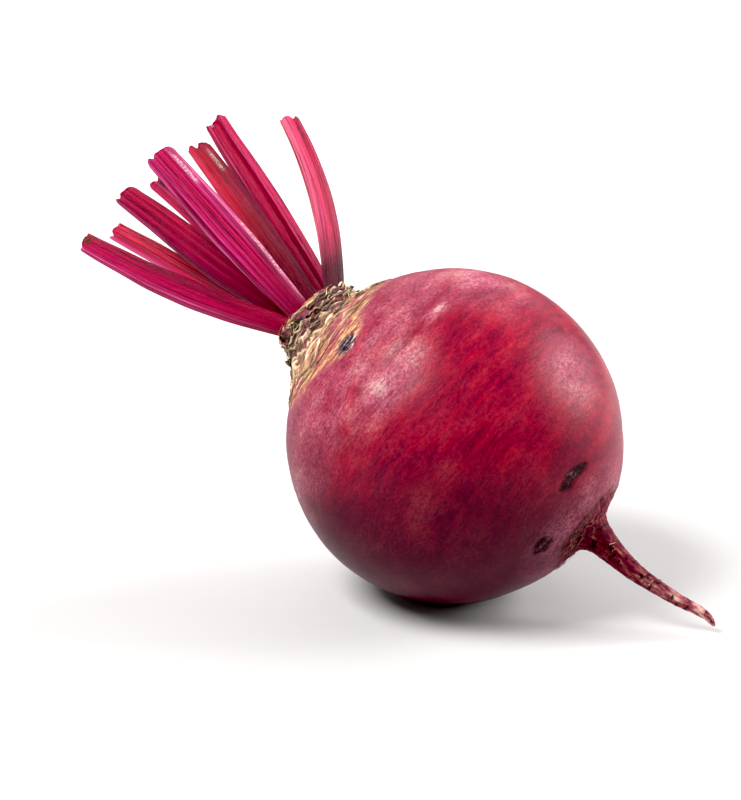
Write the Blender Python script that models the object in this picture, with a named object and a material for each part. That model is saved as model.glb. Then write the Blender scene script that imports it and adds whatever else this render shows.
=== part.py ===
"""A beetroot lying on a table, with its leaf stalks cut short: one root, the ring of dried
leaf bases round its crown, and ten stalks.

The root is turned about an upright axis, crown up, then laid over so that it rests on a
small flat spot, under the centre of its round body. Lengths are in millimetres and angles
in degrees until place() makes metres. A clock angle runs round the root's axis. It is 0
where the side faces up once the root lies down.
"""

import bisect
import math

import bmesh
import bpy
from mathutils import Matrix, Vector

MM = 0.001

# How the root lies
BODY_R = 40.0  # the round body
SEAT_DEPTH = 1.0  # how much the flat spot takes off the underside
AXIS_RISE = 29.0  # the crown end lifts this far above the table
AXIS_HEADING = 150.5  # and points this way in plan, from +X
ROOT_SIDES = 48

# Outline of the root, as (height above the body's centre, radius). The body between is an arc.
CROWN = [
    (48.9, 0.0),
    (48.6, 4.0),
    (47.9, 7.0),
    (46.9, 8.8),
    (44.5, 9.4),
    (42.0, 10.4),
    (39.8, 12.0),
    (38.0, 13.9),
]
BODY_ARC = (24.0, 171.0)  # polar angles where the round body starts and ends
BODY_RINGS = 23
TAIL = [
    (-40.5, 4.9),
    (-41.8, 4.1),
    (-44.0, 3.5),
    (-47.5, 2.9),
    (-52.5, 2.35),
    (-58.0, 1.95),
    (-63.5, 1.65),
    (-68.5, 1.4),
    (-72.5, 1.05),
    (-74.6, 0.6),
    (-75.2, 0.0),
]

# The axis isn't straight: (height, sideways drift) towards BEND_CLOCK and towards ACROSS_CLOCK.
# The crown also leans, so that it is lower on the side of BEND_CLOCK.
BEND_CLOCK = 31.0
BEND = [(-75.2, 2.3), (-72.0, 3.0), (-64.0, 1.7), (-54.0, 0.8), (-47.0, 1.3), (-41.0, 2.0)]
BEND += [(-36.0, 1.2), (-27.0, 0.0), (27.0, 0.0), (36.0, 0.7), (47.0, 2.4)]
ACROSS_CLOCK = -59.0
ACROSS = [(-75.2, -5.2), (-70.0, -3.6), (-58.0, -0.8), (-48.0, 0.0), (47.0, 0.0)]
LEAN = [(36.0, 0.0), (46.0, 0.19)]  # (height, drop for each mm sideways)

# Dried leaf bases round the neck, in overlapping tiers whose free edges point at the stalks
SCALE_SIDES = 72
SCALE_SPAN = (36.8, 46.7)  # heights of the lowest edge and of the rim
SCALE_REACH = 4.6  # how much lower the ring spreads over the shoulder, on one side
REACH_CLOCK = -50.0  # which is this one
RAGGED = [(7, 0.7, 0.4), (12, 0.5, 2.1), (19, 0.3, 4.0)]  # its waves: count, height, turn in radians
SCALE_GAP = 0.5  # clearance to the skin under them
SCALE_WALL = (0.3, 0.8)  # thickness where a scale starts, on the lowest tier and at the rim
SCALE_RELIEF = 1.5  # how much thicker it is at its free edge
SCALE_SHARPNESS = 1.6  # above 1, a scale hugs the neck and then flares
INNER_RINGS = 12
TIER_STEPS = (0.0, 0.4, 0.75, 1.0)  # where the rings of a tier lie, from its root to its free edge
TIERS = [(9, 0.0), (11, 1.9), (8, 0.6), (10, 2.7)]  # from the lowest up: scales round it, turn in radians
SCALE_ARCH = 0.45  # how far a free edge dips between two scales, in tiers
SCALE_THINNEST = 0.3  # share of the relief left there

# Nothing of a stalk reaches below this outline, which clears the crown and the ring
SEAT = [(49.25, 0.0), (48.95, 4.0), (48.25, 7.0), (47.4, 9.2), (47.3, 16.0), (40.0, 16.0), (40.0, 0.0)]
SEAT_TOP_POINTS = 4
STALK_SINK = 3.0  # a stalk starts this far inside the crown, then is trimmed to it

# Each stalk: foot clock, foot distance from the crown's middle, heading, rise, length,
# widths at foot, middle and cut end, thickness, outward bow, clock that its round face looks to,
# slant of its cut end
STALKS = {
    "stalk_lowest": (-120, 7.9, 168.5, 20.6, 52.5, (5.2, 6.9, 4.9), 4.4, 1.9, -90, 6),
    "stalk_back_left": (179, 7.5, 150.5, 19.8, 53.6, (5.0, 7.0, 5.0), 3.8, 0.0, -115, 28),
    "stalk_front_left": (-135, 4.4, 161.5, 33.0, 51.4, (4.6, 7.8, 5.8), 4.4, 0.0, -62, 13),
    "stalk_inner_left": (156, 1.8, 149.5, 33.2, 50.0, (3.6, 5.0, 5.0), 3.4, 0.0, -59, 12),
    "stalk_front": (-69, 7.3, 156, 43.2, 49.6, (5.8, 8.0, 6.1), 4.6, 0.4, -59, 4),
    "stalk_inner_right": (23, 2.6, 136, 38.2, 50.8, (4.2, 5.8, 4.4), 3.6, 0.0, -30, 18),
    "stalk_back_right": (76, 7.3, 129.5, 39.0, 59.0, (5.8, 7.6, 5.6), 4.0, 0.2, 100, -8),
    "stalk_right": (29, 8.3, 117.5, 56.7, 44.6, (5.2, 4.6, 3.5), 3.5, 2.3, -15, 5),
    "stalk_back": (125, 7.3, 122, 20.0, 52.0, (5.6, 6.4, 5.2), 4.2, 0.6, 125, 10),
    "stalk_inner_back": (111, 4.2, 131, 26.0, 46.0, (3.6, 4.6, 4.2), 3.4, 0.0, 143, -12),
}
STALK_RINGS = 12
STALK_WIDEST = 0.45  # share of the length at which the middle width is reached
FOOT_SHARE = 0.86  # thickness where it leaves the crown, as a share of that in the middle
TIP_SHARE = 0.85  # and at its cut end
RIB_POINTS = 11  # points over the round face, on ridges and in valleys by turns
RIB_DEPTH = 0.07  # of the radius
GROOVE_POINTS = 7  # points over the grooved face
GROOVE_DEPTH = 0.34  # of the thickness
WING = 0.72  # share of the half width at which the groove's lips are highest
WING_HEIGHT = 0.36  # of the thickness

SKIN = ("beet_skin", (0.23, 0.012, 0.035, 1.0), 0.45)
CORK = ("dried_leaf_base", (0.42, 0.25, 0.12, 1.0), 0.9)
STALK = ("leaf_stalk", (0.45, 0.006, 0.07, 1.0), 0.35)


def material(look):
    """A plain material of one colour and roughness."""
    name, colour, roughness = look
    made = bpy.data.materials.new(name)
    made.use_nodes = True
    shader = made.node_tree.nodes["Principled BSDF"]
    shader.inputs["Base Color"].default_value = colour
    shader.inputs["Roughness"].default_value = roughness
    shader.inputs["Metallic"].default_value = 0.0
    made.diffuse_color = colour
    return made


def eased(points, at):
    """The value at a place on the smooth curve through (place, value) points."""
    points = sorted(points)
    if at <= points[0][0]:
        return points[0][1]
    if at >= points[-1][0]:
        return points[-1][1]
    places = [place for place, _ in points]
    first = bisect.bisect_right(places, at) - 1

    def slope(k):
        low = points[max(k - 1, 0)]
        high = points[min(k + 1, len(points) - 1)]
        return (high[1] - low[1]) / (high[0] - low[0])

    span = places[first + 1] - places[first]
    t = (at - places[first]) / span
    start, end = points[first][1], points[first + 1][1]
    leaving = slope(first) * span - (end - start)
    arriving = (end - start) - slope(first + 1) * span
    return start + (end - start) * t + t * (1 - t) * (leaving * (1 - t) + arriving * t)


def clock(angle):
    """The unit direction, square to the upright axis, that a clock angle points in."""
    return Vector((math.cos(math.radians(angle)), math.sin(math.radians(angle)), 0.0))


def wandered(point):
    """Where a point of a straight root goes on the one that bends and leans."""
    height = point.z
    sideways = clock(BEND_CLOCK) * eased(BEND, height) + clock(ACROSS_CLOCK) * eased(ACROSS, height)
    drop = eased(LEAN, height) * point.dot(clock(BEND_CLOCK))
    return point + sideways - Vector((0.0, 0.0, drop))


def laid_over():
    """The turn and lift that lay the upright root down on its flat spot."""
    rise = math.radians(AXIS_RISE)
    heading = math.radians(AXIS_HEADING)
    flat = Vector((math.cos(heading), math.sin(heading), 0.0))
    crown = flat * math.cos(rise) + Vector((0.0, 0.0, math.sin(rise)))
    up = flat * -math.sin(rise) + Vector((0.0, 0.0, math.cos(rise)))
    turn = Matrix((up, crown.cross(up), crown)).transposed()
    return Matrix.Translation((0.0, 0.0, BODY_R - SEAT_DEPTH)) @ turn.to_4x4()


def place(mesh):
    """Lays a mesh made about the upright axis down, and turns millimetres into metres."""
    mesh.transform(Matrix.Scale(MM, 4) @ laid_over())


def turned(outline, sides):
    """A bmesh spun from (height, radius) points about +Z. One that misses the axis is closed."""
    mesh = bmesh.new()
    points = [mesh.verts.new((radius, 0.0, height)) for height, radius in outline]
    edges = [mesh.edges.new(pair) for pair in zip(points, points[1:])]
    if outline[0][1] > 0.0:
        edges.append(mesh.edges.new((points[-1], points[0])))
    bmesh.ops.spin(
        mesh,
        geom=points + edges,
        axis=(0, 0, 1),
        cent=(0, 0, 0),
        angle=math.tau,
        steps=sides,
        use_merge=True,
    )
    bmesh.ops.remove_doubles(mesh, verts=mesh.verts, dist=MM)
    bmesh.ops.recalc_face_normals(mesh, faces=mesh.faces)
    return mesh


def finish(name, mesh, look, smooth_under=35.0):
    """Makes an object of a bmesh that is already in place."""
    data = bpy.data.meshes.new(name)
    mesh.to_mesh(data)
    mesh.free()
    data.shade_smooth()
    data.set_sharp_from_angle(angle=math.radians(smooth_under))
    data.materials.append(look)
    made = bpy.data.objects.new(name, data)
    bpy.context.scene.collection.objects.link(made)
    return made


def root_outline():
    """The root from the top of its crown to the tip of its tail."""
    start, end = BODY_ARC
    angles = [math.radians(start + (end - start) * i / (BODY_RINGS - 1)) for i in range(BODY_RINGS)]
    return CROWN + [(BODY_R * math.cos(a), BODY_R * math.sin(a)) for a in angles] + TAIL


def build_root(look):
    """Crown, round body and tapering tail as one solid, with the flat spot across its underside."""
    mesh = turned(root_outline(), ROOT_SIDES)
    for vert in mesh.verts:
        vert.co = wandered(vert.co)
    place(mesh)
    everything = list(mesh.verts) + list(mesh.edges) + list(mesh.faces)
    table = {"plane_co": (0, 0, 0), "plane_no": (0, 0, -1)}
    cut = bmesh.ops.bisect_plane(mesh, geom=everything, dist=1e-7, clear_outer=True, **table)
    rim = [piece for piece in cut["geom_cut"] if isinstance(piece, bmesh.types.BMEdge)]
    bmesh.ops.holes_fill(mesh, edges=rim)
    bmesh.ops.recalc_face_normals(mesh, faces=mesh.faces)
    return finish("root", mesh, look)


def skin_radius(height):
    """The root's radius anywhere from the middle of its round body to its crown."""
    start = math.radians(BODY_ARC[0])
    shoulder = (BODY_R * math.cos(start), BODY_R * math.sin(start))
    if height < shoulder[0]:
        return math.sqrt(BODY_R**2 - height**2)
    return eased(CROWN + [shoulder], height)


def lowest_edge(turn):
    """The height of the ring's ragged lowest edge, at an angle round the neck."""
    towards = (1 + math.cos(turn - math.radians(REACH_CLOCK))) / 2
    waves = sum(height * math.cos(count * turn + phase) for count, height, phase in RAGGED)
    return SCALE_SPAN[0] - SCALE_REACH * towards**2 + waves


def swell(tier, turn):
    """1 at the middle of a scale of this tier and 0 between two of them."""
    count, phase = TIERS[tier]
    return (1 + math.cos(count * turn + phase)) / 2


def tier_edge(tier, turn):
    """How high a tier's free edge is, in tiers. Tier -1 stands for the lowest edge of all."""
    return tier + 1 - (SCALE_ARCH * (1 - swell(tier, turn)) if tier >= 0 else 0.0)


def on_skin(turn, share, off):
    """The point this far off the skin, at a share of the way from the ring's lowest edge to its rim."""
    low = lowest_edge(turn)
    height = low + (SCALE_SPAN[1] - low) * share
    radius = skin_radius(height)
    slope = (skin_radius(height + MM) - skin_radius(height - MM)) / (2 * MM)
    away = Vector((1.0, 0.0, -slope)).normalized().lerp(Vector((1.0, 0.0, 0.0)), share).normalized()
    return clock(math.degrees(turn)) * (radius + away.x * off) + Vector((0.0, 0.0, height + away.z * off))


def scale_point(row, turn):
    """Where the ring's mesh goes, for one of its rows and an angle round the neck."""
    top = len(TIERS) - 1
    if row < INNER_RINGS:
        share = row / (INNER_RINGS - 1) * tier_edge(top, turn) / len(TIERS)
        return on_skin(turn, share, SCALE_GAP)
    down, step = divmod(row - INNER_RINGS, len(TIER_STEPS))
    tier = top - down
    along = TIER_STEPS[-1 - step]
    edge = tier_edge(tier - 1, turn) * (1 - along) + tier_edge(tier, turn) * along
    thinning = SCALE_THINNEST + (1 - SCALE_THINNEST) * swell(tier, turn)
    relief = SCALE_RELIEF * thinning * along**SCALE_SHARPNESS
    share = edge / len(TIERS)
    wall = SCALE_WALL[0] + (SCALE_WALL[1] - SCALE_WALL[0]) * share
    return on_skin(turn, share, SCALE_GAP + wall + relief)


def build_scales(look):
    """The ring of dried leaf bases: up the inner face, over the rim, then down the tiers."""
    rows = INNER_RINGS + len(TIERS) * len(TIER_STEPS)
    mesh = turned([(float(row), 1.0) for row in range(rows)], SCALE_SIDES)
    for vert in mesh.verts:
        turn = math.atan2(vert.co.y, vert.co.x)
        vert.co = wandered(scale_point(round(vert.co.z), turn))
    bmesh.ops.recalc_face_normals(mesh, faces=mesh.faces)
    place(mesh)
    return finish("crown_scales", mesh, look, smooth_under=30.0)


def stalk_section(width, thickness):
    """Points round a stalk as (across, outward): a ribbed round face, then a grooved one."""
    points = []
    for i in range(RIB_POINTS):
        angle = math.pi * i / (RIB_POINTS - 1)
        reach = 1 + RIB_DEPTH * (-1) ** i
        points.append((width / 2 * math.cos(angle) * reach, thickness / 2 * math.sin(angle) * reach))
    for i in range(1, GROOVE_POINTS + 1):
        across = 2 * i / (GROOVE_POINTS + 1) - 1
        if abs(across) < WING:
            depth = WING_HEIGHT - GROOVE_DEPTH * (1 - abs(across) / WING)
        else:
            depth = WING_HEIGHT * (1 - abs(across)) / (1 - WING)
        points.append((width / 2 * across, -thickness * depth))
    return points


def squared(vector, direction):
    """The unit vector nearest to the given one that is square to a direction."""
    return (vector - direction * vector.dot(direction)).normalized()


def build_stalk(name, spec, look, seat):
    """One cut leaf stalk, swept from inside the crown to its cut end, then trimmed to the crown."""
    foot_clock, foot_radius, heading, rise, length, widths, thickness, bow, face_clock, slant = spec
    foot = clock(foot_clock) * foot_radius
    foot.z = eased([(radius, height) for height, radius in SEAT[:SEAT_TOP_POINTS]], foot_radius)
    foot = wandered(foot)
    level = math.cos(math.radians(rise))
    direction = clock(heading) * level + Vector((0.0, 0.0, math.sin(math.radians(rise))))
    direction = laid_over().to_3x3().inverted() @ direction
    bowed = squared(clock(foot_clock), direction)
    face = squared(clock(face_clock), direction)
    across = direction.cross(face)

    mesh = bmesh.new()
    loops = []
    for i in range(STALK_RINGS):
        along = -STALK_SINK / length + (1 + STALK_SINK / length) * i / (STALK_RINGS - 1)
        middle = foot + direction * (length * along) + bowed * (4 * bow * along * (1 - along))
        width = eased([(0.0, widths[0]), (STALK_WIDEST, widths[1]), (1.0, widths[2])], along)
        share = eased([(0.0, FOOT_SHARE), (STALK_WIDEST, 1.0), (1.0, TIP_SHARE)], along)
        section = stalk_section(width, thickness * share)
        skew = across - direction * (math.tan(math.radians(slant)) if i == STALK_RINGS - 1 else 0.0)
        ring = [mesh.verts.new(middle + skew * x + face * y) for x, y in section]
        loops.append([mesh.edges.new(pair) for pair in zip(ring, ring[1:] + ring[:1])])
    for lower, upper in zip(loops, loops[1:]):
        bmesh.ops.bridge_loops(mesh, edges=lower + upper)
    bmesh.ops.holes_fill(mesh, edges=loops[0] + loops[-1])
    bmesh.ops.recalc_face_normals(mesh, faces=mesh.faces)
    place(mesh)
    made = finish(name, mesh, look, smooth_under=25.0)
    trim = made.modifiers.new("trim_to_crown", "BOOLEAN")
    trim.operation = "DIFFERENCE"
    trim.object = seat
    return made


def build_seat(look):
    """The helper that trims the stalks' feet."""
    mesh = turned(SEAT, ROOT_SIDES)
    for vert in mesh.verts:
        vert.co = wandered(vert.co)
    bmesh.ops.recalc_face_normals(mesh, faces=mesh.faces)
    place(mesh)
    made = finish("stalk_seat", mesh, look)
    made.hide_render = True
    made.display_type = "WIRE"
    return made


def main():
    for old in list(bpy.data.objects):
        bpy.data.objects.remove(old)
    build_root(material(SKIN))
    cork = material(CORK)
    build_scales(cork)
    seat = build_seat(cork)
    stalk = material(STALK)
    for name, spec in STALKS.items():
        build_stalk(name, spec, stalk, seat)


main()
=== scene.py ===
import bisect
import math
import random

import bmesh
import bpy
from mathutils import Matrix, Vector, noise


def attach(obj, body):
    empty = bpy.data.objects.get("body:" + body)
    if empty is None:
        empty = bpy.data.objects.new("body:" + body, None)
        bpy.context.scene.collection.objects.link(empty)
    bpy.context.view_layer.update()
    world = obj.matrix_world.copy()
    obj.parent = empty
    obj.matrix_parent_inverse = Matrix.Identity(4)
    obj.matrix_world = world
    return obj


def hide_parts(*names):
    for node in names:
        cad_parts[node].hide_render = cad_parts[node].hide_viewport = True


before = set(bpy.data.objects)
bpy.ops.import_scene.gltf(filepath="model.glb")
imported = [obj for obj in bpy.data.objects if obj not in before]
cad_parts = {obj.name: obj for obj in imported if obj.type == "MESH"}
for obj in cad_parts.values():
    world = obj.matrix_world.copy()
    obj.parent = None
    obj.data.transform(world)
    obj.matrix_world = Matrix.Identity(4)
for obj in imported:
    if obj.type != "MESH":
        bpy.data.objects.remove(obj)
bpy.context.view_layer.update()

mm = 0.001  # pieces are shaped in millimetres about an upright axis, then laid over


# small tools

def fromHex(code):  # sRGB hex to linear colour
    parts = [int(code[i:i + 2], 16) / 255 for i in (0, 2, 4)]
    return tuple(p / 12.92 if p <= 0.04045 else ((p + 0.055) / 1.055) ** 2.4 for p in parts) + (1.0,)


def eased(points, at):  # value on the smooth curve through (place, value) points
    if at <= points[0][0]:
        return points[0][1]
    if at >= points[-1][0]:
        return points[-1][1]
    first = bisect.bisect_right([place for place, _ in points], at) - 1
    slopes = []
    for k in (first, first + 1):
        low, high = points[max(k - 1, 0)], points[min(k + 1, len(points) - 1)]
        slopes.append((high[1] - low[1]) / (high[0] - low[0]))
    span = points[first + 1][0] - points[first][0]
    t = (at - points[first][0]) / span
    start, end = points[first][1], points[first + 1][1]
    leaving = slopes[0] * span - (end - start)
    arriving = (end - start) - slopes[1] * span
    return start + (end - start) * t + t * (1 - t) * (leaving * (1 - t) + arriving * t)


def fade(value, start, end):  # 0 at start, 1 at end, smooth between
    t = min(max((value - start) / (end - start), 0.0), 1.0)
    return t * t * (3 - 2 * t)


def hump(value, middle, width):  # 1 in the middle, gone two widths away
    return math.exp(-(((value - middle) / width) ** 2))


def clockGap(a, b):  # degrees from b to a, the short way
    return (a - b + 180) % 360 - 180


def clockWay(angle):  # unit direction square to the upright axis
    return Vector((math.cos(math.radians(angle)), math.sin(math.radians(angle)), 0.0))


def rough(point, size, seed=0.0):  # noise from -1 to 1 with lumps of about this many mm
    return noise.noise(point / size + Vector((seed, 7.3 - seed, seed * 2.1)))


# how the root lies, as in the CAD source

lying = {
    "bodyRadius": 40.0,
    "seatDepth": 1.0,
    "rise": 29.0,  # degrees that the crown points up
    "heading": 150.5,
    "bendClock": 31.0,
    "bend": [  # height, mm that the axis wanders towards bendClock
        (-75.2, 2.3), (-72.0, 3.0), (-64.0, 1.7), (-54.0, 0.8), (-47.0, 1.3), (-41.0, 2.0),
        (-36.0, 1.2), (-27.0, 0.0), (27.0, 0.0), (36.0, 0.7), (47.0, 2.4),
    ],
    "acrossClock": -59.0,
    "across": [(-75.2, -5.2), (-70.0, -3.6), (-58.0, -0.8), (-48.0, 0.0), (47.0, 0.0)],
    "lean": [(36.0, 0.0), (46.0, 0.19)],
}


def wandered(point):  # bends and leans a point of the straight root
    towards = clockWay(lying["bendClock"])
    sideways = towards * eased(lying["bend"], point.z)
    sideways += clockWay(lying["acrossClock"]) * eased(lying["across"], point.z)
    drop = eased(lying["lean"], point.z) * point.dot(towards)
    return point + sideways - Vector((0.0, 0.0, drop))


def laidOver():  # from the upright root, crown up, to the one that lies on the table
    rise, heading = math.radians(lying["rise"]), math.radians(lying["heading"])
    flat = Vector((math.cos(heading), math.sin(heading), 0.0))
    crown = flat * math.cos(rise) + Vector((0.0, 0.0, math.sin(rise)))
    up = flat * -math.sin(rise) + Vector((0.0, 0.0, math.cos(rise)))
    turn = Matrix((up, crown.cross(up), crown)).transposed()
    return Matrix.Translation((0.0, 0.0, lying["bodyRadius"] - lying["seatDepth"])) @ turn.to_4x4()


toRow = Matrix.Scale(mm, 4) @ laidOver()


def spunRound(profile, sides, closed=False):  # (radius, height) points turned once round the upright axis
    mesh = bmesh.new()
    points = [mesh.verts.new((radius, 0.0, height)) for radius, height in profile]
    following = points[1:] + points[:1] if closed else points[1:]
    edges = [mesh.edges.new(pair) for pair in zip(points, following)]
    bmesh.ops.spin(
        mesh, geom=points + edges, axis=(0, 0, 1), cent=(0, 0, 0), angle=math.tau, steps=sides,
        use_merge=True,
    )
    return mesh


def fibreLayers(mesh):  # the attributes that the collar's material reads: straight, edge, shade and neck
    layers = mesh.verts.layers
    vectors, floats = layers.float_vector, layers.float
    straight = vectors.get("straight") or vectors.new("straight")
    return [straight] + [floats.get(name) or floats.new(name) for name in collarMasks]


def finishPiece(name, mesh, look, nodes):
    mesh.transform(toRow)
    for vert in mesh.verts:
        vert.co.z = max(vert.co.z, 0.0)  # nothing goes through the table, and the body gets its flat spot
    bmesh.ops.recalc_face_normals(mesh, faces=mesh.faces)
    data = bpy.data.meshes.new(name)
    mesh.to_mesh(data)
    mesh.free()
    data.shade_smooth()
    data.materials.append(look)
    piece = bpy.data.objects.new(name, data)
    bpy.context.scene.collection.objects.link(piece)
    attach(piece, "root")
    if nodes:
        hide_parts(*nodes)
    print("made", name, len(data.polygons), "faces")
    return piece


def addNode(tree, kind, feeds=(), out=None, stops=(), **settings):
    # feeds: values and other nodes' outputs, listed in the order of the sockets in use or given by name.
    # stops: places and colours of a ramp. The main output comes back, or the one named by out.
    node = tree.nodes.new("ShaderNode" + kind)
    for key, value in settings.items():
        setattr(node, key, value)
    sockets = [socket for socket in node.inputs if socket.enabled]
    if not isinstance(feeds, dict):
        feeds = dict(enumerate(feeds))
    for key, source in feeds.items():
        socket = sockets[key] if isinstance(key, int) else next(s for s in sockets if s.name == key)
        if isinstance(source, bpy.types.NodeSocket):
            tree.links.new(source, socket)
        else:
            socket.default_value = source
    if stops:
        elements = node.color_ramp.elements
        while len(elements) < len(stops):
            elements.new(1.0)
        for element, (place, colour) in zip(elements, stops):
            element.position = place
            element.color = fromHex(colour)
    return node.outputs[out] if out else next(s for s in node.outputs if s.enabled)


def newMaterial(name):  # an empty Principled material, its tree and its shader
    made = bpy.data.materials.new(name)
    made.use_nodes = True
    return made, made.node_tree, made.node_tree.nodes["Principled BSDF"]


# the root: crown, round body and tail

rootForm = {
    "crown": [  # height, radius
        (48.9, 0.0), (48.6, 4.0), (47.9, 7.0), (46.9, 8.8), (44.5, 9.4), (42.0, 10.4), (39.8, 12.0),
        (38.0, 13.9),
    ],
    "bodyArc": (24.0, 171.0),  # degrees from the crown's axis
    "tail": [
        (-40.5, 4.9), (-41.8, 4.1), (-44.0, 3.5), (-47.5, 2.9), (-52.5, 2.35), (-58.0, 1.95),
        (-63.5, 1.65), (-68.5, 1.4), (-72.5, 1.05), (-74.4, 0.6), (-74.95, 0.0),
    ],
    "sides": 208,
    "crownRings": 30,
    "bodyRings": 140,
    "tailRings": 90,
    "bodyFrom": (-39.0, -33.0),  # heights between which the body's unevenness sets in
    "tailFrom": (-37.6, -39.4),  # and the tail's bark,
    "wrinklesFrom": (-34.5, -38.5),  # its wrinkles,
    "wornFrom": (-52.0, -70.0),  # its worn end
    "splitFrom": (-72.6, -74.4),  # and the split in its tip
    "shoulderFrom": (20.0, 34.0),
    "lumps": [(0.26, 24.0, 0.0), (0.07, 7.0, 3.0)],  # height, size and noise seed of the body's unevenness
    "grain": 0.05,  # fine rings in the peel
    "sink": 0.3,  # keeps the lumps inside the CAD body
    "crease": (-38.7, 0.45),  # height and half width of the crease between body and tail
    "creaseDepth": (0.3, 0.7),  # all round, and what the bend adds on its inside
    "splitClock": -59.0,
    "frayed": (-39.6, -85.0),  # where the peel is frayed: height and clock
    "paintedShadeFrom": (58.0, 17.0),  # painted shade on the underside: none above the first height over the table, full below the second
    "paintedShade": 0.85,
}

# marks on the skin: height, clock, half length round the root, half width along it, depth, in mm and degrees
skinScars = [
    (-32.4, -37.0, 5.2, 1.0, 0.30),
    (-35.5, -87.0, 2.9, 1.0, 0.35),
    (-30.5, 38.0, 3.4, 0.8, 0.25),
    (-33.5, 128.0, 4.2, 0.9, 0.28),
    (-24.0, 205.0, 2.6, 0.7, 0.20),
]
leafScars = [(26.6, -56.5, 3.2, 1.7, 0.45), (30.4, 70.0, 2.2, 1.0, 0.4), (29.6, 165.0, 2.6, 1.1, 0.4)]
skinFolds = [  # shallow red grooves near the shoulder
    (13.9, -43.0, 8.5, 0.7, 0.4),
    (16.4, -23.0, 4.2, 0.9, 0.40),
    (18.2, 48.0, 7.0, 0.6, 0.30),
    (15.0, 140.0, 9.0, 0.6, 0.30),
    (19.5, 215.0, 6.0, 0.7, 0.30),
]
dustAndSheenPatches = [  # dusty bloom, and painted highlight in two of them: height, clock, half width along the root, half length round it, strength
    # the first is bloom with a painted highlight on it; the second is a painted highlight where the
    # right-hand light falls
    (11.5, -59.0, 5.5, 11.0, 1.0),
    (-17.0, -6.0, 6.5, 9.0, 0.75),
    (3.0, -2.0, 6.0, 11.0, 0.3),
    (18.0, -72.0, 5.0, 8.0, 0.5),
    (21.0, -17.0, 1.3, 3.6, 1.5),
    (14.0, -27.0, 1.5, 5.0, 1.4),
    (14.0, 0.0, 7.5, 10.0, 1.05),
    (3.4, 4.0, 1.4, 4.0, 0.55),
    (12.0, 95.0, 6.0, 14.0, 0.7),
    (14.0, 190.0, 6.0, 12.0, 0.7),
]
corkReach = [  # how low the dried cork of the collar spreads over the shoulder: clock, height
    (-180.0, 34.0), (-120.0, 33.0), (-90.0, 29.5), (-73.0, 27.6), (-63.0, 25.4), (-56.0, 24.2), (-47.0, 26.4),
    (-36.0, 30.0), (-20.0, 32.4), (20.0, 33.6), (70.0, 32.0), (120.0, 34.2), (180.0, 34.0),
]
skinMasks = ("scar", "leafScar", "fold", "dustAndSheen", "cork", "tail", "worn", "paintedShade")


def arcPoint(angle):  # (height, radius) on the round body, at degrees from the crown's axis
    angle = math.radians(angle)
    return lying["bodyRadius"] * math.cos(angle), lying["bodyRadius"] * math.sin(angle)


def skinRadius(height):  # radius of the straight root, from crown to tail
    shoulder, waist = (arcPoint(angle) for angle in rootForm["bodyArc"])
    if height > shoulder[0]:
        return eased([shoulder] + rootForm["crown"][::-1], height)
    if height < waist[0]:
        return eased(rootForm["tail"][::-1] + [waist], height)
    return math.sqrt(lying["bodyRadius"] ** 2 - height * height)


def rootOutline():  # (height, radius) rows from the crown's top to the tail's tip
    start, end = rootForm["bodyArc"]
    parts = [
        (rootForm["crown"] + [arcPoint(start)], rootForm["crownRings"]),
        ([arcPoint(end)] + rootForm["tail"], rootForm["tailRings"]),
    ]
    rows = []
    for points, count in parts:
        heights = [(i, height) for i, (height, _) in enumerate(points)]
        radii = [(i, wide) for i, (_, wide) in enumerate(points)]
        for k in range(count):
            at = (len(points) - 1) * k / (count - 1)
            rows.append((eased(heights, at), max(eased(radii, at), 0.0)))
    for k in range(1, rootForm["bodyRings"]):
        rows.append(arcPoint(start + (end - start) * k / rootForm["bodyRings"]))
    return sorted(rows, reverse=True)


def shareRound(turn, clock, height, halfLong):  # way round the root from a mark's middle, in half lengths
    return math.radians(clockGap(turn, clock)) * max(skinRadius(height), 1.0) / halfLong


def markShare(mark, height, turn, point):  # how deep inside a lens-shaped mark a place is, 0 to 1
    middle, clock, halfLong, halfWide, _ = mark
    along = shareRound(turn, clock, middle, halfLong)
    if abs(along) > 1.3 or abs(height - middle) > 4 * halfWide:  # far outside it
        return 0.0
    off = abs(height - middle + 0.5 * halfWide * rough(point, 3.0, 4.0)) / halfWide
    return fade(off + along ** 4 + 0.2 * rough(point, 0.9, 9.0), 1.25, 0.75)


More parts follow.
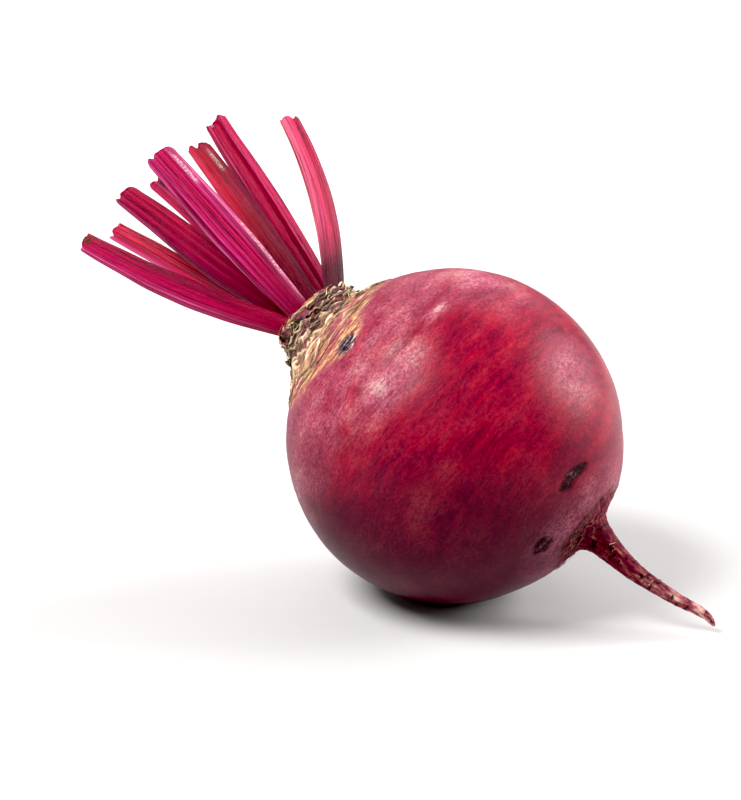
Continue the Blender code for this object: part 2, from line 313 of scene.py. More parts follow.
def skinMarks(height, turn, point):  # relief in mm and the masks that the material reads
    masks = dict.fromkeys(skinMasks, 0.0)
    body = fade(height, *rootForm["bodyFrom"])
    shoulder = fade(height, *rootForm["shoulderFrom"])
    ringed = Vector((point.x / 6.0, point.y / 6.0, point.z))  # noise read here runs round the root
    relief = rootForm["grain"] * body * rough(ringed, 0.8, 5.0) * (0.4 + shoulder) - rootForm["sink"] * body
    for high, size, seed in rootForm["lumps"]:
        relief += body * high * rough(point, size, seed)

    chipped = 0.7 + 0.5 * rough(point, 0.6, 2.0)
    for name, marks, uneven in (("scar", skinScars, chipped), ("leafScar", leafScars, 1.0)):
        for mark in marks:
            share = markShare(mark, height, turn, point)
            masks[name] = max(masks[name], share)
            relief -= mark[4] * share * uneven
    for middle, clock, halfLong, halfWide, depth in skinFolds:
        along = shareRound(turn, clock, middle, halfLong)
        share = math.exp(-along ** 4) * hump(height, middle + 0.5 * rough(point, 4.0, 6.0), halfWide)
        masks["fold"] = max(masks["fold"], share)
        relief -= depth * share

    dustAndSheen = 0.55 * fade(height + 2.5 * rough(point, 9.0, 1.0), 6.0, 20.0)  # over the shoulder
    dustAndSheen = max(dustAndSheen, 0.05, 0.45 * fade(height, -32.0, -37.5))  # a film all over, and more above the tail
    for middle, clock, halfWide, halfLong, strength in dustAndSheenPatches:
        along = shareRound(turn, clock, middle, halfLong)
        dustAndSheen = max(dustAndSheen, strength * math.exp(-(along * along) - ((height - middle) / halfWide) ** 2))
    masks["dustAndSheen"] = dustAndSheen * (0.75 + 0.5 * rough(point, 5.0, 8.0)) * (1 - 0.8 * masks["fold"])

    reach = eased(corkReach, clockGap(turn, 0.0))
    reach += 1.3 * rough(point, 3.0, 2.5) + 0.8 * rough(ringed, 1.4, 3.5)
    masks["cork"] = fade(height, reach - 1.2, reach + 1.6)
    relief += 0.16 * masks["cork"] * rough(ringed, 0.55, 7.5)

    creaseHeight, creaseHalf = rootForm["crease"]
    crease = hump(height, creaseHeight + 0.5 * rough(point, 3.0, 1.5), creaseHalf)
    allRound, inside = rootForm["creaseDepth"]
    inside *= max(math.cos(math.radians(turn - lying["bendClock"])), 0.0)
    relief -= (allRound + inside) * crease * (0.7 + 0.5 * rough(point, 1.5, 5.5))
    radius = skinRadius(height)
    split = math.cos(math.radians(turn - rootForm["splitClock"])) ** 2  # the tip is split in two
    relief -= 0.5 * radius * split * fade(height, *rootForm["splitFrom"])
    frayHeight, frayClock = rootForm["frayed"]
    frayed = hump(height, frayHeight, 1.3) * hump(clockGap(turn, frayClock), 0.0, 42.0)
    masks["scar"] = max(masks["scar"], 0.9 * frayed * fade(rough(point, 1.2, 4.0), -0.5, 0.2))
    wrinkled = fade(height, *rootForm["wrinklesFrom"])
    wrinkle = rough(Vector((point.x / 2.2, point.y / 2.2, point.z)), 0.55, 6.5)
    wrinkle += 0.6 * rough(point, 1.3, 2.0) - 1.0
    relief += wrinkled * min(0.14, 0.06 * radius) * wrinkle  # never so deep that it cuts the thin end
    masks["tail"] = max(fade(height, *rootForm["tailFrom"]), 0.7 * crease * wrinkled)
    masks["worn"] = fade(height + 4.0 * rough(point, 3.0, 2.2), *rootForm["wornFrom"])
    return relief, masks


skinTones = {  # sRGB: one colour, or the stops of a ramp over a noise
    "peel": [(0.38, "5C0826"), (0.46, "740828"), (0.53, "8A0A2A"), (0.62, "A2122A")],
    "paintedShade": "34041C",  # painted shade on the underside: a darker wine red
    "fold": "76082A",  # folds show the redder, cleaner peel
    "dustAndSheen": [(0.38, "A05066"), (0.50, "B46A7A"), (0.58, "BC7E8A"), (0.66, "C4A0A0")],
    "chalk": "C2B0A0",  # where the dust lies thickest
    "bark": [(0.36, "34101C"), (0.45, "5E1028"), (0.53, "6C162E"), (0.6, "7E3A34"), (0.7, "AA8070")],
    "wornBark": [(0.38, "682832"), (0.46, "9A4E56"), (0.53, "BA7E7A"), (0.64, "DCBCAC")],
    "crack": "1E0A0C",
    "cork": [(0.39, "34140A"), (0.44, "743A2A"), (0.48, "A05C62"), (0.53, "AC7E50"), (0.61, "CEB07C")],
    "scar": [(0.3, "3A0C1A"), (0.44, "1E080E"), (0.52, "40222A"), (0.62, "745458")],
    "leafScar": [(0.40, "14080C"), (0.48, "342228"), (0.54, "78646A"), (0.61, "CCC0B8")],
}


def skinLook():  # beet skin: thin waxy peel, mottled crimson, dulled by dried soil dust; broad soft gloss. Painted shade darkens the underside, and two dust patches carry painted highlight
    made, tree, shader = newMaterial("washedBeetSkin")
    place = addNode(tree, "Attribute", out="Vector", attribute_name="upright")  # mm
    masks = {name: addNode(tree, "Attribute", out="Fac", attribute_name=name) for name in skinMasks}
    ringed = addNode(tree, "Mapping", {"Vector": place, "Scale": (1.0, 1.0, 2.2)})  # marks run round the root
    fine = addNode(tree, "Mapping", {"Vector": place, "Scale": (1.0, 1.0, 4.5)})
    # each noise: place, 1 / size in mm, detail, roughness
    clouds = addNode(tree, "TexNoise", [ringed, 1 / 16.0, 5.0, 0.62])
    streaks = addNode(tree, "TexNoise", [fine, 1 / 6.0, 5.0, 0.7])
    flecks = addNode(tree, "TexNoise", [ringed, 1 / 1.2, 3.0, 0.7])
    dots = addNode(tree, "TexNoise", [place, 1 / 0.55, 2.0, 0.6])

    mottle = addNode(tree, "Mix", [0.55, clouds, streaks], data_type="FLOAT")
    mottle = addNode(tree, "Mix", [0.22, mottle, flecks], data_type="FLOAT")
    peel = addNode(tree, "ValToRGB", [mottle], stops=skinTones["peel"])

    # dust, with painted highlight in two patches: greyish pink, thicker in the streaks and broken by fine
    # flecks. Map Range: value, from, to
    speckled = addNode(tree, "MapRange", [flecks, 0.34, 0.62, 0.35, 1.25])
    grainy = addNode(tree, "MapRange", [dots, 0.36, 0.64, 0.55, 1.4])
    dustAndSheen = addNode(tree, "Math", [masks["dustAndSheen"], speckled], operation="MULTIPLY")
    dustAndSheen = addNode(tree, "Math", [dustAndSheen, grainy], operation="MULTIPLY", use_clamp=True)
    dustAndSheenTone = addNode(tree, "ValToRGB", [clouds], stops=skinTones["dustAndSheen"])
    chalky = addNode(tree, "MapRange", [masks["dustAndSheen"], 0.85, 1.25, 0.0, 0.75])
    dustAndSheenTone = addNode(tree, "Mix", [chalky, dustAndSheenTone, fromHex(skinTones["chalk"])], data_type="RGBA")

    # the tail: maroon, with brown cork and dark cracks round it
    lengthwise = addNode(tree, "Mapping", {"Vector": place, "Scale": (1.0, 1.0, 0.3)})
    barkNoise = addNode(tree, "TexNoise", [lengthwise, 1 / 1.1, 4.0, 0.7])
    bark = addNode(tree, "ValToRGB", [barkNoise], stops=skinTones["bark"])
    worn = addNode(tree, "ValToRGB", [barkNoise], stops=skinTones["wornBark"])
    bark = addNode(tree, "Mix", [masks["worn"], bark, worn], data_type="RGBA")
    cracks = addNode(tree, "Mapping", {"Vector": place, "Scale": (0.45, 0.45, 1.0)})
    cracks = addNode(tree, "TexNoise", [cracks, 1 / 1.2, 2.0, 0.6])
    cracks = addNode(tree, "MapRange", [cracks, 0.42, 0.36, 0.0, 0.9])
    bark = addNode(tree, "Mix", [cracks, bark, fromHex(skinTones["crack"])], data_type="RGBA")

    # the cork that the collar leaves on the shoulder: tan and orange fibres with pink between
    fibres = addNode(tree, "TexNoise", [fine, 1 / 3.5, 5.0, 0.75])
    cork = addNode(tree, "ValToRGB", [fibres], stops=skinTones["cork"])
    corkShare = addNode(tree, "MapRange", [fibres, 0.36, 0.6, 0.15, 1.3])
    corkShare = addNode(tree, "Math", [corkShare, masks["cork"]], operation="MULTIPLY", use_clamp=True)

    # scars: grey cork inside, almost black along their cracks
    striped = addNode(tree, "Mix", [0.45, fibres, flecks], data_type="FLOAT")
    scar = addNode(tree, "Math", [striped, masks["scar"]], operation="MULTIPLY")
    scar = addNode(tree, "ValToRGB", [scar], stops=skinTones["scar"])
    leafScar = addNode(tree, "ValToRGB", [striped], stops=skinTones["leafScar"])

    skin = peel
    paintedShade, fold = (fromHex(skinTones[key]) for key in ("paintedShade", "fold"))
    # painted shade darkens the underside first
    layers = [
        (masks["paintedShade"], paintedShade), (masks["fold"], fold), (dustAndSheen, dustAndSheenTone), (masks["tail"], bark), (corkShare, cork),
        (masks["scar"], scar), (masks["leafScar"], leafScar),
    ]
    for share, tone in layers:
        skin = addNode(tree, "Mix", [share, skin, tone], data_type="RGBA")
    tree.links.new(skin, shader.inputs["Base Color"])

    gloss = addNode(tree, "MapRange", [flecks, 0.35, 0.65, 0.3, 0.4])
    dull = addNode(tree, "Math", [masks["dustAndSheen"], masks["cork"]], operation="MAXIMUM")
    dull = addNode(tree, "Math", [dull, masks["tail"]], operation="MAXIMUM")
    gloss = addNode(tree, "Mix", [dull, gloss, 0.72], data_type="FLOAT")
    gloss = addNode(tree, "Mix", [masks["scar"], gloss, 0.75], data_type="FLOAT")
    tree.links.new(gloss, shader.inputs["Roughness"])
    shader.inputs["IOR"].default_value = 1.38
    shader.inputs["Specular IOR Level"].default_value = 0.18
    height = addNode(tree, "Math", [flecks, dots], operation="ADD")
    height = addNode(tree, "Math", [streaks, 1.5, height], operation="MULTIPLY_ADD")
    bump = addNode(tree, "Bump", {"Height": height, "Strength": 0.25, "Distance": 0.15 * mm})
    tree.links.new(bump, shader.inputs["Normal"])
    return made


def makeRoot(look):
    rows = rootOutline()
    heights = [-height for height, _ in rows]
    mesh = spunRound([(radius, height) for height, radius in rows], rootForm["sides"])
    bmesh.ops.remove_doubles(mesh, verts=mesh.verts, dist=1e-4)
    upright = mesh.verts.layers.float_vector.new("upright")
    layers = {name: mesh.verts.layers.float.new(name) for name in skinMasks}
    for vert in mesh.verts:
        point = vert.co.copy()
        turn = math.degrees(math.atan2(point.y, point.x))
        row = min(bisect.bisect_left(heights, -point.z - 1e-4), len(rows) - 1)
        low, high = rows[min(row + 1, len(rows) - 1)], rows[max(row - 1, 0)]
        out, up = Vector((high[0] - low[0], low[1] - high[1])).normalized()  # square to the outline
        if row in (0, len(rows) - 1):
            out, up = 0.0, 1.0 if point.z > 0 else -1.0
        relief, masks = skinMarks(point.z, turn, point)
        lyingAt = toRow @ point / mm
        # painted shade: the underside is darkened, more so lower down and towards the left
        paintedShade = fade(lyingAt.z + 0.1 * lyingAt.x + 6 * rough(point, 18.0, 3.0), *rootForm["paintedShadeFrom"])
        masks["paintedShade"] = rootForm["paintedShade"] * paintedShade
        for name in skinMasks:
            vert[layers[name]] = masks[name]
        vert[upright] = point
        vert.co = wandered(point + clockWay(turn) * (out * relief) + Vector((0.0, 0.0, up * relief)))
    return finishPiece("beetRoot", mesh, look, ["root"])


# the collar of dried leaf bases round the neck

ringForm = {
    "sides": 216,
    "span": (36.8, 46.6),
    "reach": 4.6,
    "reachClock": -50.0,  # the side where it reaches lowest
    "ragged": [(7, 0.7, 0.4), (12, 0.5, 2.1), (19, 0.3, 4.0)],  # waves of its lower edge: count, height, turn
    "tiers": [(14, 0.0), (17, 1.9), (13, 0.6), (16, 2.7), (12, 1.2)],  # from the lowest up: scales, turn
    "steps": (0.0, 0.12, 0.25, 0.38, 0.5, 0.62, 0.74, 0.85, 0.94, 1.0),
    "innerRows": 8,
    "relief": 0.85,
    "wall": (0.15, 0.7),
    "arch": (0.2, 0.6),  # how wavy the scales' edges are, at the skin and at the rim
    "thinnest": 0.25,
    "bareGap": 1.8,  # flaps and fibres start this far above the cork's edge
}


def reachShare(clock):  # 1 on the side where the collar reaches lowest, 0 opposite it
    return (1 + math.cos(math.radians(clock - ringForm["reachClock"]))) / 2


def bareBelow(clock):
    return eased(corkReach, clockGap(clock, 0.0)) + ringForm["bareGap"]


def lowestEdge(turn):
    waves = sum(height * math.cos(count * turn + phase) for count, height, phase in ringForm["ragged"])
    return ringForm["span"][0] - ringForm["reach"] * reachShare(math.degrees(turn)) ** 2 + waves


def onSkin(turn, height, off, share):  # a point this far off the skin; straight out at the rim
    slope = (skinRadius(height + 0.01) - skinRadius(height - 0.01)) / 0.02
    away = Vector((1.0, -slope)).normalized().lerp(Vector((1.0, 0.0)), share).normalized()
    out = clockWay(math.degrees(turn)) * (skinRadius(height) + away.x * off)
    return out + Vector((0.0, 0.0, height + away.y * off))


def tierWave(tier, turn):  # -1 between two scales of a tier, 1 in the middle of one, unevenly
    count, phase = ringForm["tiers"][tier]
    place = clockWay(math.degrees(turn)) * count
    wave = 0.4 * math.cos(count * turn + phase) + 1.5 * rough(place, 2.6, phase)
    return min(max(wave, -1.0), 1.0)


def tierEdge(tier, turn):
    if tier < 0:
        return 0.0
    low, high = ringForm["arch"]
    arch = low + (high - low) * tier / (len(ringForm["tiers"]) - 1)
    return tier + 1 - arch * (1 - tierWave(tier, turn)) / 2


def makeRing(look):
    tiers, steps, inner = ringForm["tiers"], ringForm["steps"], ringForm["innerRows"]
    rows = inner + len(tiers) * len(steps)
    mesh = spunRound([(1.0, float(row)) for row in range(rows)], ringForm["sides"], closed=True)
    straight, edge, shade, neck = fibreLayers(mesh)
    for vert in mesh.verts:
        row = round(vert.co.z)
        turn = math.atan2(vert.co.y, vert.co.x)
        low = lowestEdge(turn)
        tall = ringForm["span"][1] - low
        spot = clockWay(math.degrees(turn)) * 12.0  # about the neck's radius
        if row < inner:
            share = row / (inner - 1) * tierEdge(len(tiers) - 1, turn) / len(tiers)
            off, along = -0.4, 0.0
        else:
            down, step = divmod(row - inner, len(steps))
            tier = len(tiers) - 1 - down
            along = steps[-1 - step]
            share = (tierEdge(tier - 1, turn) * (1 - along) + tierEdge(tier, turn) * along) / len(tiers)
            swell = ringForm["thinnest"] + (1 - ringForm["thinnest"]) * (1 + tierWave(tier, turn)) / 2
            wall = ringForm["wall"][0] + (ringForm["wall"][1] - ringForm["wall"][0]) * share
            off = wall + ringForm["relief"] * swell * along ** 1.6
            near = Vector((spot.x, spot.y, (low + tall * share) * 2.5))
            off += 0.22 * rough(near, 1.3, 1.0) + 0.2 * rough(near, 3.5, 2.0)
            off += 0.24 * rough(Vector((spot.x / 3, spot.y / 3, low + tall * share)), 0.5, 5.0)
            if row == rows - 1:
                off = -0.5  # the lowest edge dives under the skin
        height = low + tall * share
        vert[straight] = Vector((spot.x, spot.y, height + along))
        vert[edge] = along
        vert[shade] = 0.35 + 0.5 * rough(spot, 3.0, float(row // len(steps)))
        vert[neck] = fade(share, 0.15, 0.6)
        vert.co = wandered(onSkin(turn, height, off, share))
    return finishPiece("collarBark", mesh, look, ["crown_scales"])


flapForm = {
    "seed": 11,
    "across": 30,  # faces along a flap, and up it
    "up": 8,
    "thick": 0.16,
    # each row: height on the neck, how many, half span in degrees, tall, lift, curl
    "rows": [
        (33.4, 6, (9, 15), (0.7, 1.2), (0.05, 0.15), 0.05),
        (34.9, 10, (10, 19), (0.8, 1.3), (0.10, 0.35), 0.1),
        (36.6, 12, (9, 17), (1.0, 1.8), (0.3, 0.8), 0.2),
        (38.4, 13, (8, 16), (1.3, 2.4), (0.5, 1.2), 0.35),
        (40.4, 12, (9, 17), (1.5, 2.6), (0.7, 1.5), 0.5),
        (42.5, 12, (9, 17), (1.5, 2.6), (0.8, 1.6), 0.6),
        (44.6, 12, (9, 15), (1.2, 2.0), (0.8, 1.6), 0.7),
    ],
    "tilt": 1.7,  # mm that one end may stand higher than the middle
    "highest": 47.0,
}


def makeFlaps(look):
    dice = random.Random(flapForm["seed"])
    mesh = bmesh.new()
    straight, edge, shade, neck = fibreLayers(mesh)
    for base, count, spans, talls, lifts, curl in flapForm["rows"]:
        start = dice.uniform(0, 360)
        wavy = 0.35 + 0.65 * fade(base, 34.0, 40.0)  # the low ones are long flat fibres
        for i in range(count):
            clock = start + 360 * (i + dice.uniform(-0.3, 0.3)) / count
            half, tall, lift = dice.uniform(*spans), dice.uniform(*talls), dice.uniform(*lifts)
            tilt = dice.uniform(-flapForm["tilt"], flapForm["tilt"]) * fade(base, 31.0, 38.0)
            tone, seed = dice.random(), dice.uniform(0, 50)
            peak, blunt = dice.uniform(-0.55, 0.55), dice.uniform(1.6, 4.0)
            foot = base - ringForm["reach"] * reachShare(clock) ** 2 * fade(base, 44.0, 36.0)
            foot = max(foot + dice.uniform(-0.5, 0.5), bareBelow(clock))
            grid = bmesh.ops.create_grid(
                mesh, x_segments=flapForm["across"], y_segments=flapForm["up"], size=1.0)
            for vert in grid["verts"]:
                along, up = vert.co.x, (vert.co.y + 1) / 2
                taper = 1 - 0.93 * abs(along + peak * (1 - along * along)) ** blunt
                arc = along * math.radians(half) * skinRadius(foot)  # mm from the flap's middle
                coarse, fine = rough(Vector((arc, seed, 0.0)), 2.6), rough(Vector((arc, seed, 4.0)), 0.7)
                rise = tall * up * taper * (1 + wavy * (0.6 * coarse + 0.45 * fine))
                height = foot + tilt * along + rise - curl * taper * fade(up, 0.55, 1.0) ** 2
                off = -0.15 + lift * taper * up ** 1.4 + 0.5 * curl * taper * fade(up, 0.5, 1.0)
                crumpled = rough(Vector((arc, up * 2, seed)), 0.9) + rough(Vector((arc, up, seed)), 2.1)
                off += 0.4 * up * wavy * crumpled + 0.55 * fade(height, 38.0, 43.0)
                height = min(height, flapForm["highest"])
                vert[straight] = Vector((along * half / 5 + seed, seed, up * tall))
                vert[edge] = up * taper
                vert[shade] = tone
                vert[neck] = fade(base, 35.0, 41.0)
                turn = math.radians(clock + along * half)
                vert.co = wandered(onSkin(turn, height, off, fade(height, 38.0, 46.0)))
    mesh.normal_update()
    grown = bmesh.ops.extrude_face_region(mesh, geom=list(mesh.faces), use_keep_orig=True)["geom"]
    for vert in grown:
        if isinstance(vert, bmesh.types.BMVert):
            vert.co -= vert.normal * flapForm["thick"]
    return finishPiece("collarFlaps", mesh, look, [])


collarMasks = ("edge", "shade", "neck")  # neck: 0 by the skin, 1 at the rim
collarTones = {
    "low": [
        (0.425, "2A1206"), (0.46, "6E4026"), (0.49, "9C6258"), (0.52, "AC885A"), (0.56, "C4A674"),
        (0.61, "E6D6A8"),
    ],
    # by the rim: dark dried tissue, darkened further by painted shade under the stalk feet
    "high": [(0.43, "060202"), (0.49, "200C08"), (0.53, "542C22"), (0.57, "903C4A"), (0.62, "A88660")],
    "slotShade": "1C0A06",  # painted shade deep between the scales
    "flesh": "A8405A",  # pink where the leaf base broke open
    "tips": [(0.40, "845436"), (0.45, "CAA072"), (0.51, "ECD4A8"), (0.58, "FCF2D8")],
}


def collarLook():  # dried leaf bases: papery cork, torn when the leaves were cut; matt, pale at the edges, with painted shade between the scales and near the rim
    made, tree, shader = newMaterial("driedLeafBase")
    place = addNode(tree, "Attribute", out="Vector", attribute_name="straight")  # mm
    masks = {name: addNode(tree, "Attribute", out="Fac", attribute_name=name) for name in collarMasks}
    fibres = addNode(tree, "Mapping", {"Vector": place, "Scale": (1.0, 1.0, 7.0)})
    fibres = addNode(tree, "TexNoise", [fibres, 1 / 3.0, 5.0, 0.72])
    blotches = addNode(tree, "TexNoise", [place, 1 / 3.0, 3.0, 0.6])
    grain = addNode(tree, "TexNoise", [place, 1 / 0.8, 3.0, 0.7])
    tone = addNode(tree, "Mix", [0.35, fibres, blotches], data_type="FLOAT")
    tone = addNode(tree, "Mix", [0.25, tone, grain], data_type="FLOAT")
    ramps = [addNode(tree, "ValToRGB", [tone], stops=collarTones[key]) for key in ("low", "high", "tips")]
    low, high, tips = ramps

    # painted shade at the foot of each scale, deeper towards the rim
    slotShade = addNode(tree, "MapRange", [masks["edge"], 0.04, 0.4, 0.9, 0.0])
    deeper = addNode(tree, "MapRange", [masks["neck"], 0.0, 0.6, 0.8, 1.0])
    slotShade = addNode(tree, "Math", [slotShade, deeper], operation="MULTIPLY")
    flesh = addNode(tree, "TexNoise", [place, 1 / 4.0, 2.0, 0.6])
    flesh = addNode(tree, "MapRange", [flesh, 0.54, 0.64, 0.0, 0.55])

    # pale tips: further down on some flaps than on others, and worn off in blotches
    reach = addNode(tree, "Math", [masks["shade"], 0.35, masks["edge"]], operation="MULTIPLY_ADD")
    tip = addNode(tree, "MapRange", [reach, 0.84, 1.02, 0.0, 1.0])
    worn = addNode(tree, "MapRange", [blotches, 0.40, 0.54, 0.15, 1.1])
    paper = addNode(tree, "MapRange", [masks["shade"], 0.0, 0.8, 0.45, 1.1])
    for share in (worn, paper):
        tip = addNode(tree, "Math", [tip, share], operation="MULTIPLY", use_clamp=True)

    colour = low
    layers = [
        (masks["neck"], high), (slotShade, fromHex(collarTones["slotShade"])), (flesh, fromHex(collarTones["flesh"])),
        (tip, tips),
    ]
    for share, over in layers:
        colour = addNode(tree, "Mix", [share, colour, over], data_type="RGBA")
    tree.links.new(colour, shader.inputs["Base Color"])
    shader.inputs["Roughness"].default_value = 0.72
    height = addNode(tree, "Math", [fibres, blotches], operation="ADD")
    bump = addNode(tree, "Bump", {"Height": height, "Strength": 0.8, "Distance": 0.3 * mm})
    tree.links.new(bump, shader.inputs["Normal"])
    return made


# fine rootlets and fibres

def addStrand(mesh, points, radius, tone, pale, dark, sides=5):  # a thin tapering tube along upright points
    straight, edge, shade, neck = fibreLayers(mesh)
    last = len(points) - 1
    grid = bmesh.ops.create_grid(mesh, x_segments=sides, y_segments=last, size=1.0)["verts"]
    for vert in grid:
        step = round((vert.co.y + 1) / 2 * last)
        angle = math.pi * (vert.co.x + 1)
        way = (points[min(step + 1, last)] - points[max(step - 1, 0)]).normalized()
        side = way.orthogonal().normalized()
        thin = radius * (1 - 0.75 * step / last)
        vert[straight] = Vector((angle, tone * 30, step * 0.5))
        vert[edge] = pale
        vert[shade] = tone
        vert[neck] = dark
        vert.co = wandered(points[step] + (side * math.cos(angle) + way.cross(side) * math.sin(angle)) * thin)
    bmesh.ops.remove_doubles(mesh, verts=grid, dist=1e-4)


def finishStrands(name, mesh, look):  # closes the strands' open ends first
    bmesh.ops.holes_fill(mesh, edges=[edge for edge in mesh.edges if edge.is_boundary])
    return finishPiece(name, mesh, look, [])


fibreForm = {
    "seed": 9,
    "count": 150,
    "radius": (0.06, 0.15),
    "steps": 8,
    "heights": (33.0, 46.0),
    "run": (2.5, 7.0),  # mm round the neck
    "drift": (-1.2, 1.2),  # mm along it
    "lift": (0.0, 0.5),
    "highest": 46.8,
}


def makeFibres(look):
    dice = random.Random(fibreForm["seed"])
    mesh = bmesh.new()
    for i in range(fibreForm["count"]):
        height, clock = dice.uniform(*fibreForm["heights"]), dice.uniform(-180, 180)
        height -= 6.0 * reachShare(clock) ** 2 * fade(height, 42.0, 33.0)
        height = max(height, bareBelow(clock))
        run, drift = dice.uniform(*fibreForm["run"]), dice.uniform(*fibreForm["drift"])
        radius, tone = dice.uniform(*fibreForm["radius"]), dice.random()
        lift = dice.uniform(*fibreForm["lift"])
        points = []
        for k in range(fibreForm["steps"] + 1):
            far = k / fibreForm["steps"]
            here = min(height + drift * far + 0.2 * math.sin(far * 6 + i), fibreForm["highest"])
            turn = math.radians(clock) + run * far / skinRadius(here)
            off = 0.05 + 1.15 * fade(here, 35.0, 44.0)
            off += (0.15 + 0.85 * fade(here, 34.0, 40.0)) * lift * math.sin(far * math.pi)
            points.append(onSkin(turn, here, off, fade(here, 38.0, 46.0)))
        addStrand(mesh, points, radius, tone, 0.95 if tone > 0.35 else 0.4, 0.3)
    return finishStrands("collarFibres", mesh, look)


rootletForm = {
    "seed": 5,
    "crease": 34,  # how many round the crease, and on the tail
    "tail": 14,
    "radius": (0.07, 0.16),
    "steps": 7,
    "creaseHeight": (-39.0, 0.7),  # middle and spread
    "tailHeights": (-68.0, -41.0),
    "clock": (-85, 30),  # most of them sit round here: middle and spread
    "runs": ((2.0, 6.0), (1.0, 2.5)),  # mm round the root, at the crease and on the tail
    "drift": (-0.4, 0.4),
}


def makeRootlets(look):
    dice = random.Random(rootletForm["seed"])
    mesh = bmesh.new()
    for i in range(rootletForm["crease"] + rootletForm["tail"]):
        nearCrease = i < rootletForm["crease"]
        if nearCrease:
            height = dice.gauss(*rootletForm["creaseHeight"])
        else:
            height = dice.uniform(*rootletForm["tailHeights"])
        clock = dice.uniform(-180, 180) if dice.random() < 0.3 else dice.gauss(*rootletForm["clock"])
        run = dice.uniform(*rootletForm["runs"][0 if nearCrease else 1])
        drift = dice.uniform(*rootletForm["drift"])
        radius, tone = dice.uniform(*rootletForm["radius"]), dice.random()
        points = []
        for k in range(rootletForm["steps"] + 1):
            far = k / rootletForm["steps"]
            here = height + drift * far * (1.5 if nearCrease else 3.0) + 0.12 * math.sin(far * 4 + i)
            turn = math.radians(clock) + run * far / max(skinRadius(here), 3.0)
            points.append(onSkin(turn, here, -0.05 + 0.10 * math.sin(far * math.pi) + 0.05 * far, 0.0))
        addStrand(mesh, points, radius, tone, 0.8 if tone > 0.9 else 0.3 + 0.2 * tone, 0.8)
    return finishStrands("rootlets", mesh, look)


# the cut leaf stalks

stalkForm = {
    "around": 80,
    "rings": 46,
    "sink": 2.6,  # starts this far inside the crown
    "widest": 0.45,
    "footShare": 0.86,
    "tipShare": 0.85,
    "between": 0.955,  # how far out the peel lies between ribs
    "ribsFrom": (8, 16),  # degrees round it to the first rib
    "ribGap": (13, 24),
    "ribWide": (3.5, 6.5),
    "ribHigh": (0.025, 0.085),
    "wander": 0.12,  # mm that it sways to either side
    "ragged": 7.0,  # mm at the tip that the cut's shape reaches down
    "round": 1.3,  # mm that the cut end is rounded at its edges
    "grooveDepth": 0.34,
    "wing": 0.72,
    "wingHeight": 0.36,
    "capRings": (0.93, 0.8, 0.55, 0.25),
    "footTop": [(0.0, 49.25), (4.0, 48.95), (7.0, 48.25), (9.2, 47.4)],  # off the axis, crown's height
}

# what most stalks share; each one below names the rest, and what differs. scab: colours of dried spots.
# footReach: where the dark foot fades, as shares of the length; the dark is partly painted shade where the
# feet crowd together. ribPink: how pink the ribs are, partly painted highlight
usualStalk = {
    "scab": ("3A1418", "5A2A22", "7C4A3A"),
    "footReach": (0.0, 0.35),
    "ribPink": 0.45,
    "bow": 0.0,
    "spots": [],
}
